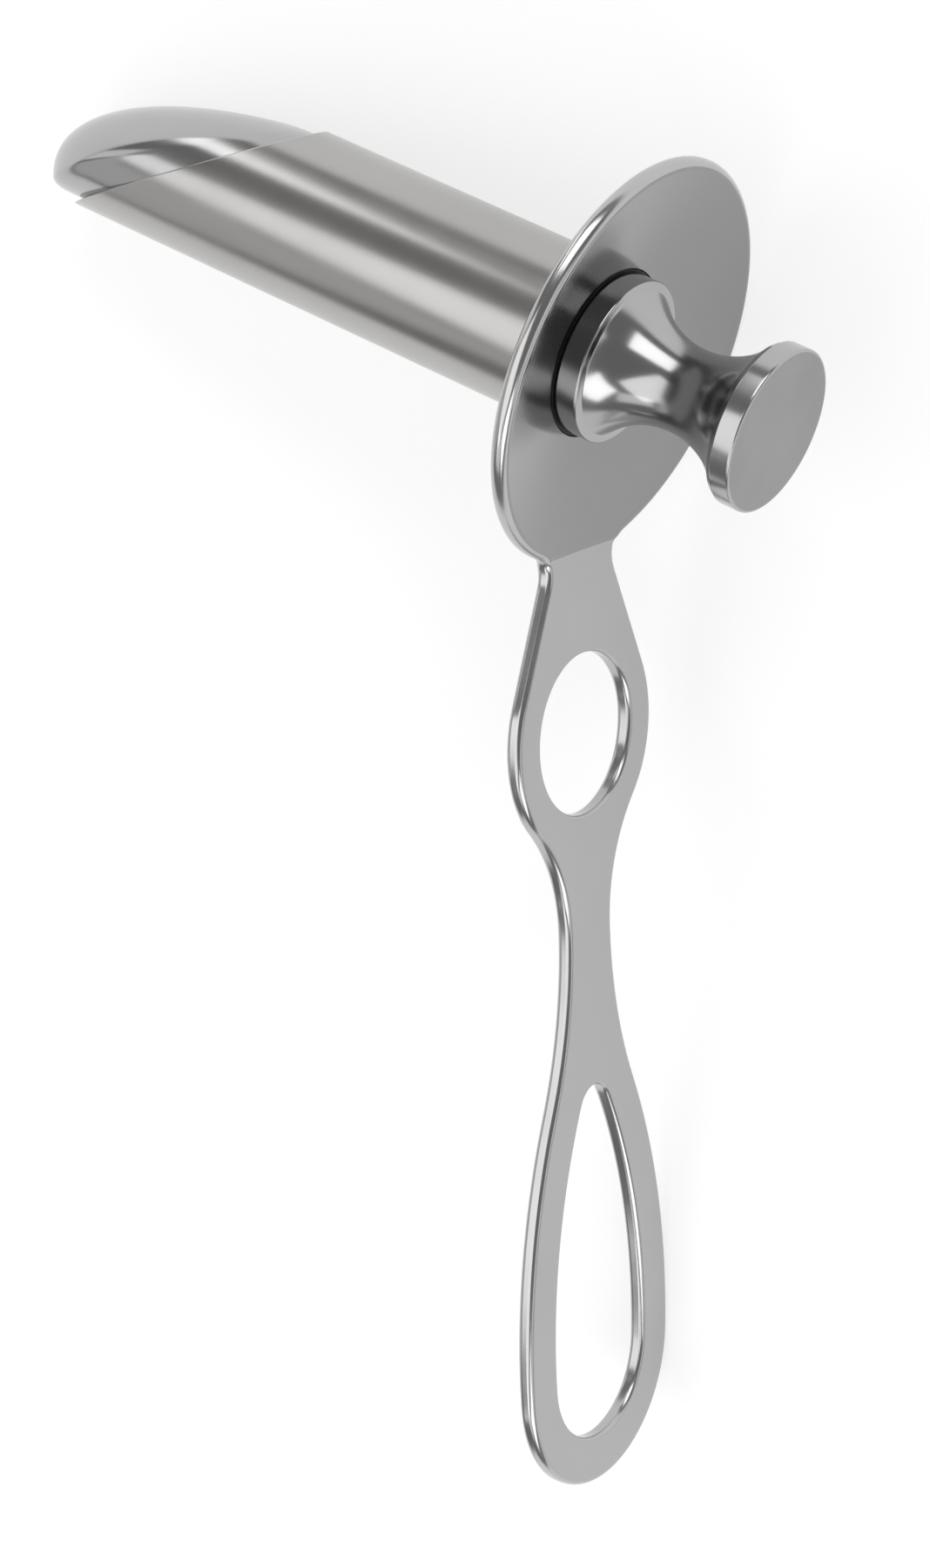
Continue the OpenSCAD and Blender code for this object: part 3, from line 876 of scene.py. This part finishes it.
def nose_field(x, y, z):
    """Below zero inside the nose: a cylinder cut by a long dome, rounded more towards the tip."""
    o = bpy.context.scene.obturator_sizes
    t, wall_r, dome_r, along = nose_places(y)
    wall = np.hypot(x, z) - wall_r
    reach = (np.hypot(x, z + o.nose_drop) / dome_r) ** o.nose_fullness
    dome = ((along + reach) ** (1 / o.nose_fullness) - 1) * dome_r
    k = 0.1 * MM + o.nose_round * t
    return np.maximum(wall, dome) + np.maximum(k - np.abs(wall - dome), 0) ** 2 / (4 * k)


def build_nose(sides=192, count=96):
    """Rows of the nose: a flat back, a round guide and the dome."""
    o = bpy.context.scene.obturator_sizes
    r = obturator_radius()
    start, tip = dome_start_y(), tip_y() + o.nose_over
    back = start - o.guide_length
    a = np.arange(sides) * 2 * math.pi / sides
    low, high = start, tip + 1 * MM
    for _ in range(40):
        middle = (low + high) / 2
        if nose_field(0, middle, nose_centre(middle)) < 0:
            low = middle
        else:
            high = middle
    end = low
    y = start + (end - start) * np.sin(np.linspace(0, math.pi / 2, count))[:-1, None]
    near, far = np.zeros((count - 1, sides)), np.full((count - 1, sides), 2 * r)
    for _ in range(34):
        middle = (near + far) / 2
        within = nose_field(middle * np.cos(a), y, nose_centre(y) + middle * np.sin(a)) < 0
        near, far = np.where(within, middle, near), np.where(within, far, middle)
    across, up = near * np.cos(a), nose_centre(y) + near * np.sin(a)
    dome = np.stack([across, np.broadcast_to(y, near.shape), up], 2)
    profile = np.vstack([
        [[0, back], [r * 0.5, back]],
        corner((0, back), (r, back), (r, start), 0.5 * MM),
        [[r, back + (start - back) * t] for t in (0.3, 0.6, 0.9)]])
    point = np.broadcast_to([0, end, nose_centre(end)], (1, sides, 3))
    return np.concatenate([turned(profile, sides), dome, point])


def build_tube(sides=288):
    """Rows of the tube: outside, rounded oblique lip, bore and mouth, joined into a ring."""
    s = bpy.context.scene.speculum_sizes
    outer, inner, lip = s.tube_diameter / 2, s.tube_diameter / 2 - s.tube_wall, s.lip_round
    a = np.arange(sides) * 2 * math.pi / sides
    start, rounded = mouth_y(), mouth_y() + MOUTH_ROUND

    def wall_point(r, y):
        return np.c_[r * np.cos(a), np.broadcast_to(y, a.shape), r * np.sin(a)]

    def bevel(r):
        return tip_y() - (r * np.sin(a) + outer) / math.tan(s.bevel_angle)

    def bend(before, point, after):
        rows = []
        for t in np.linspace(0, 1, 6):
            rows.append((1 - t) ** 2 * before + 2 * t * (1 - t) * point + t * t * after)
        return rows

    far_out, far_in = wall_point(outer, bevel(outer)), wall_point(inner, bevel(inner))
    face = far_in - far_out
    size = np.linalg.norm(face, axis=1, keepdims=True)
    face_out = far_out + face * np.minimum(lip / size, 0.45)
    face_in = far_in - face * np.minimum(lip / size, 0.45)
    rows = [wall_point(outer, rounded + (bevel(outer) - lip - rounded) * t)
        for t in np.linspace(0, 1, 24)[:-1]]
    rows += bend(wall_point(outer, bevel(outer) - lip), far_out, face_out)
    rows += bend(face_in, far_in, wall_point(inner, bevel(inner) - lip))
    rows += [wall_point(inner, rounded + (bevel(inner) - lip - rounded) * t)
        for t in np.linspace(1, 0, 24)[1:]]
    mouth_in, mouth_out = wall_point(inner, start), wall_point(outer, start)
    rows += bend(wall_point(inner, rounded), mouth_in, wall_point(inner + MOUTH_ROUND, start))[1:]
    rows += bend(wall_point(outer - MOUTH_ROUND, start), mouth_out, wall_point(outer, rounded))[:-1]
    return np.array(rows)


class SPECULUM_OT_plate(bpy.types.Operator):
    """Builds the dished flange and the looped handle from one plate"""

    bl_idname = "speculum.plate"
    bl_label = "Flange and handle"

    def execute(self, context):
        points, faces, normals, face_materials = build_plate()
        piece = add_piece("flange_and_handle", points, faces, normals,
            [polished_plate(), buffed_edge_with_sheen(), darker_toned_dish(), painted_shade_seam()], face_materials)
        stand_for(piece, "speculum", "flange_handle")
        return {"FINISHED"}


class SPECULUM_OT_tube(bpy.types.Operator):
    """Builds the thin tube with its oblique end"""

    bl_idname = "speculum.tube"
    bl_label = "Tube"

    def execute(self, context):
        points, faces, normals = loft(build_tube(), ring=True)
        # The tube's end at the mouth is painted dark as shade in its joint with the flange
        mouth_shade_faces = points[np.array([f[0] for f in faces]), 1] < mouth_y() + 2 * MOUTH_ROUND
        piece = add_piece("oblique_tube", points, faces, normals,
            [drawn_tube(), painted_shade_seam()], mouth_shade_faces.astype(int))
        stand_for(piece, "speculum", "speculum_tube")
        return {"FINISHED"}


class SPECULUM_OT_braze(bpy.types.Operator):
    """Builds the brazed fillet between the tube and the back of the flange"""

    bl_idname = "speculum.braze"
    bl_label = "Braze"

    def execute(self, context):
        s = context.scene.speculum_sizes
        tube_r, leg = s.tube_diameter / 2, s.braze_leg
        slope = math.tan(s.dish_angle)
        back = mouth_y() + s.plate_thickness / math.cos(s.dish_angle)
        out_r = tube_r + 0.75 * MM + leg
        tip = np.array([tube_r, back + leg])
        heel = np.array([tube_r + 0.1 * MM, back])
        toe = np.array([out_r, back - (out_r - tube_r) * slope + 0.02 * MM])
        t = np.linspace(0, 1, 14)[:, None]
        hollow = (1 - t) ** 2 * tip + 2 * t * (1 - t) * heel + t * t * toe
        # The fillet's back lies inside the plate and the tube
        under = back - 0.9 * MM
        buried = np.array([[tube_r + 0.9 * MM, under], [tube_r - 0.2 * MM, under]])
        points, faces, normals = loft(turned(np.vstack([hollow, buried])), ring=True)
        piece = add_piece("braze_fillet", points, faces, normals, [silver_braze()])
        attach(piece, "speculum")
        return {"FINISHED"}


class SPECULUM_OT_nose(bpy.types.Operator):
    """Builds the obturator's domed nose and its guide"""

    bl_idname = "speculum.nose"
    bl_label = "Nose"

    def execute(self, context):
        points, faces, normals = loft(build_nose())
        piece = add_piece("domed_nose", points, faces, normals, [polished_nose()])
        stand_for(piece, "obturator", "obturator_nose")
        return {"FINISHED"}


class SPECULUM_OT_rod(bpy.types.Operator):
    """Builds the rod between the nose and the knob"""

    bl_idname = "speculum.rod"
    bl_label = "Rod"

    def execute(self, context):
        o = context.scene.obturator_sizes
        r = o.rod_diameter / 2
        start = mouth_y() - o.rod_depth
        end = dome_start_y() - o.guide_length + o.rod_depth
        profile = np.vstack([
            [[0, start]],
            corner((0, start), (r, start), (r, end), 0.6 * MM),
            [[r, start + (end - start) * t] for t in (0.25, 0.5, 0.75)],
            corner((r, start), (r, end), (0, end), 0.6 * MM),
            [[0, end]]])
        points, faces, normals = loft(turned(profile, 96))
        piece = add_piece("obturator_rod_ground", points, faces, normals, [ground_rod()])
        stand_for(piece, "obturator", "obturator_rod")
        return {"FINISHED"}


class SPECULUM_OT_knob(bpy.types.Operator):
    """Builds the turned spool knob with its collar and spigot"""

    bl_idname = "speculum.knob"
    bl_label = "Knob"

    def execute(self, context):
        o = context.scene.obturator_sizes
        mouth, end, edge = mouth_y(), knob_end_y(), o.knob_edge
        disc_r, collar_r = o.disc_diameter / 2, o.collar_diameter / 2
        disc_back, collar_front = end + o.disc_thickness, mouth - o.collar_thickness
        waist = mouth - o.spool_waist_position
        hollow_r = o.spool_waist_diameter / 2 + o.spool_radius
        spigot_r, spigot_end = obturator_radius(), mouth + o.spigot_length
        reach = min(disc_r, collar_r) - edge
        half = math.acos((hollow_r - reach) / o.spool_radius)
        collar_half = min(half, math.asin((collar_front - waist) / o.spool_radius))
        disc_half = min(half, math.asin((waist - disc_back) / o.spool_radius))
        a = np.linspace(-disc_half, collar_half, 90)
        spool = np.c_[hollow_r - o.spool_radius * np.cos(a), waist + o.spool_radius * np.sin(a)]
        face = [[r * disc_r, end] for r in (0, 0.3, 0.6, 0.85)]
        profile = np.vstack([
            face,
            corner((0, end), (disc_r, end), (disc_r, disc_back), edge * 0.8),
            corner((disc_r, end), (disc_r, disc_back), (0, disc_back), edge * 0.5),
            spool,
            corner((0, collar_front), (collar_r, collar_front), (collar_r, mouth), edge * 0.8),
            corner((collar_r, collar_front), (collar_r, mouth), (0, mouth), edge * 0.8),
            [[spigot_r, mouth], [spigot_r, mouth + 0.1 * MM]],
            corner((spigot_r, mouth), (spigot_r, spigot_end), (0, spigot_end), edge),
            [[0, spigot_end]]])
        sides = 256
        points, faces, normals = loft(turned(profile, sides))
        # The end face is flat, and has a finish of its own
        flat = len(face) * sides
        normals[:flat] = (0, -1, 0)
        face_materials = [1 if i < flat else 0 for i in range(len(faces))]
        piece = add_piece("spool_knob", points, faces, normals,
            [mirror_steel(), satin_face()], face_materials)
        stand_for(piece, "obturator", "obturator_knob")
        return {"FINISHED"}


# Stage


def paper_floor():
    """Matt studio paper, lifted to white where the camera or the steel sees it lit."""
    material, tree = new_material("matt_studio_paper")
    if tree:
        studio = bpy.context.scene.studio_settings
        place = add_node(tree, "ShaderNodeTexCoord", {})
        # Paper tooth 0.8 mm across
        tooth = add_node(tree, "ShaderNodeTexNoise", {"Scale": 1250.0, "Detail": 2.0},
            {"Vector": place.outputs["Object"]})
        bump = add_node(tree, "ShaderNodeBump", {"Strength": 0.1, "Distance": 2e-5},
            {"Height": tooth.outputs["Fac"]})
        paper = add_node(tree, "ShaderNodeBsdfDiffuse", {"Color": (*studio.floor_colour, 1)},
            {"Normal": bump.outputs["Normal"]})
        rays = add_node(tree, "ShaderNodeLightPath", {})
        seen = add_node(tree, "ShaderNodeMath", {"operation": "ADD"}, {
            0: rays.outputs["Is Camera Ray"], 1: rays.outputs["Is Glossy Ray"]})
        shown = add_node(tree, "ShaderNodeMath", {"operation": "ADD", "use_clamp": True}, {
            0: seen.outputs[0], 1: rays.outputs["Is Transmission Ray"]})
        glow = add_node(tree, "ShaderNodeMath", {"operation": "MULTIPLY", 1: studio.floor_glow},
            {0: shown.outputs[0]})
        lift = add_node(tree, "ShaderNodeEmission", {"Color": (1, 1, 1, 1)},
            {"Strength": glow.outputs[0]})
        both = add_node(tree, "ShaderNodeAddShader", {}, {0: paper.outputs[0], 1: lift.outputs[0]})
        add_node(tree, "ShaderNodeOutputMaterial", {}, {"Surface": both.outputs[0]})
    return material


def build_floor():
    """Round sheet of paper under the instrument."""
    radius = bpy.context.scene.studio_settings.floor_radius
    rings = radius * np.linspace(0, 1, 9) ** 2
    sides = 96
    a = np.arange(sides) * 2 * math.pi / sides
    rows = np.array([np.c_[r * np.cos(a), r * np.sin(a), 0 * a] for r in rings])
    points, faces, _ = loft(rows)
    mesh = bpy.data.meshes.new("paper_floor")
    mesh.from_pydata(points.tolist(), [], faces)
    mesh.materials.append(paper_floor())
    floor = bpy.data.objects.new("paper_floor", mesh)
    bpy.context.scene.collection.objects.link(floor)


def add_softbox(name, azimuth, elevation, distance, width, height, brightness):
    """A rectangular lamp that looks at the tube's middle."""
    target = Vector((-0.01, 0.03, 0.02))
    a, e = math.radians(azimuth), math.radians(elevation)
    away = Vector((math.cos(a) * math.cos(e), math.sin(a) * math.cos(e), math.sin(e)))
    lamp = bpy.data.lights.new(name, "AREA")
    lamp.shape = "RECTANGLE"
    lamp.size, lamp.size_y = width, height
    lamp.energy = brightness * math.pi * width * height
    softbox = bpy.data.objects.new(name, lamp)
    softbox.location = target + away * distance
    softbox.rotation_euler = away.to_track_quat("Z", "Y").to_euler()
    softbox.visible_camera = False
    bpy.context.scene.collection.objects.link(softbox)


def build_room():
    """Dim room round the stage, paler near the horizon."""
    studio = bpy.context.scene.studio_settings
    world = bpy.data.worlds.new("dim_studio_room")
    world.use_nodes = True
    tree = world.node_tree
    tree.nodes.clear()
    place = add_node(tree, "ShaderNodeTexCoord", {})
    split = add_node(tree, "ShaderNodeSeparateXYZ", {}, {"Vector": place.outputs["Generated"]})
    height = add_node(tree, "ShaderNodeMapRange", {
        "interpolation_type": "SMOOTHSTEP", "From Min": -0.02, "From Max": 0.03},
        {"Value": split.outputs["Z"]})
    colour = add_node(tree, "ShaderNodeMix", {"data_type": "RGBA"}, {0: height.outputs["Result"]})
    colour.inputs[6].default_value = (*studio.horizon_colour, 1)
    colour.inputs[7].default_value = (*studio.room_colour, 1)
    back = add_node(tree, "ShaderNodeBackground", {"Strength": 1.0}, {"Color": colour.outputs[2]})
    add_node(tree, "ShaderNodeOutputWorld", {}, {"Surface": back.outputs[0]})
    bpy.context.scene.world = world


def add_camera():
    """Camera at the photograph's place, given in the instrument's own axes."""
    right = Vector(CAMERA_RIGHT).normalized()
    ahead = Vector(CAMERA_AHEAD).normalized()
    up = right.cross(ahead).normalized()
    right = ahead.cross(up)
    lens = bpy.data.cameras.new("photo_camera")
    lens.sensor_width = 36
    lens.lens = bpy.context.scene.studio_settings.lens
    lens.clip_start, lens.clip_end = 0.01, 20
    camera = bpy.data.objects.new("photo_camera", lens)
    turn = Matrix((right, up, -ahead)).transposed().to_4x4()
    place = Matrix.Translation(Vector(CAMERA_PLACE) * MM)
    camera.matrix_world = own_axes() @ place @ turn
    bpy.context.scene.collection.objects.link(camera)
    bpy.context.scene.camera = camera


class SPECULUM_OT_stage(bpy.types.Operator):
    """Sets up the paper floor, the room, the softboxes and the camera"""

    bl_idname = "speculum.stage"
    bl_label = "Stage"

    def execute(self, context):
        context.scene.view_settings.view_transform = "Standard"
        build_floor()
        build_room()
        for name, measures in SOFTBOXES.items():
            add_softbox(name, *measures)
        add_camera()
        return {"FINISHED"}


class SPECULUM_PT_panel(bpy.types.Panel):
    """Lists the instrument's pieces and its stage"""

    bl_idname = "SPECULUM_PT_panel"
    bl_label = "Tubular speculum"
    bl_space_type = "VIEW_3D"
    bl_region_type = "UI"
    bl_category = "Speculum"

    def draw(self, context):
        column = self.layout.column(align=True)
        for piece in OPERATORS:
            column.operator(piece.bl_idname)


OPERATORS = (
    SPECULUM_OT_plate,
    SPECULUM_OT_tube,
    SPECULUM_OT_braze,
    SPECULUM_OT_nose,
    SPECULUM_OT_rod,
    SPECULUM_OT_knob,
    SPECULUM_OT_stage,
)
GROUPS = {
    "speculum_sizes": SpeculumSizes,
    "obturator_sizes": ObturatorSizes,
    "steel_finish": SteelFinish,
    "studio_settings": StudioSettings,
}


def register():
    for name, group in GROUPS.items():
        bpy.utils.register_class(group)
        setattr(bpy.types.Scene, name, PointerProperty(type=group))
    for operator in OPERATORS:
        bpy.utils.register_class(operator)
    bpy.utils.register_class(SPECULUM_PT_panel)


def unregister():
    bpy.utils.unregister_class(SPECULUM_PT_panel)
    for operator in reversed(OPERATORS):
        bpy.utils.unregister_class(operator)
    for name, group in reversed(GROUPS.items()):
        delattr(bpy.types.Scene, name)
        bpy.utils.unregister_class(group)


def main():
    register()
    bpy.ops.speculum.plate()
    bpy.ops.speculum.tube()
    bpy.ops.speculum.braze()
    bpy.ops.speculum.nose()
    bpy.ops.speculum.rod()
    bpy.ops.speculum.knob()
    bpy.ops.speculum.stage()


if __name__ == "__main__":
    main()
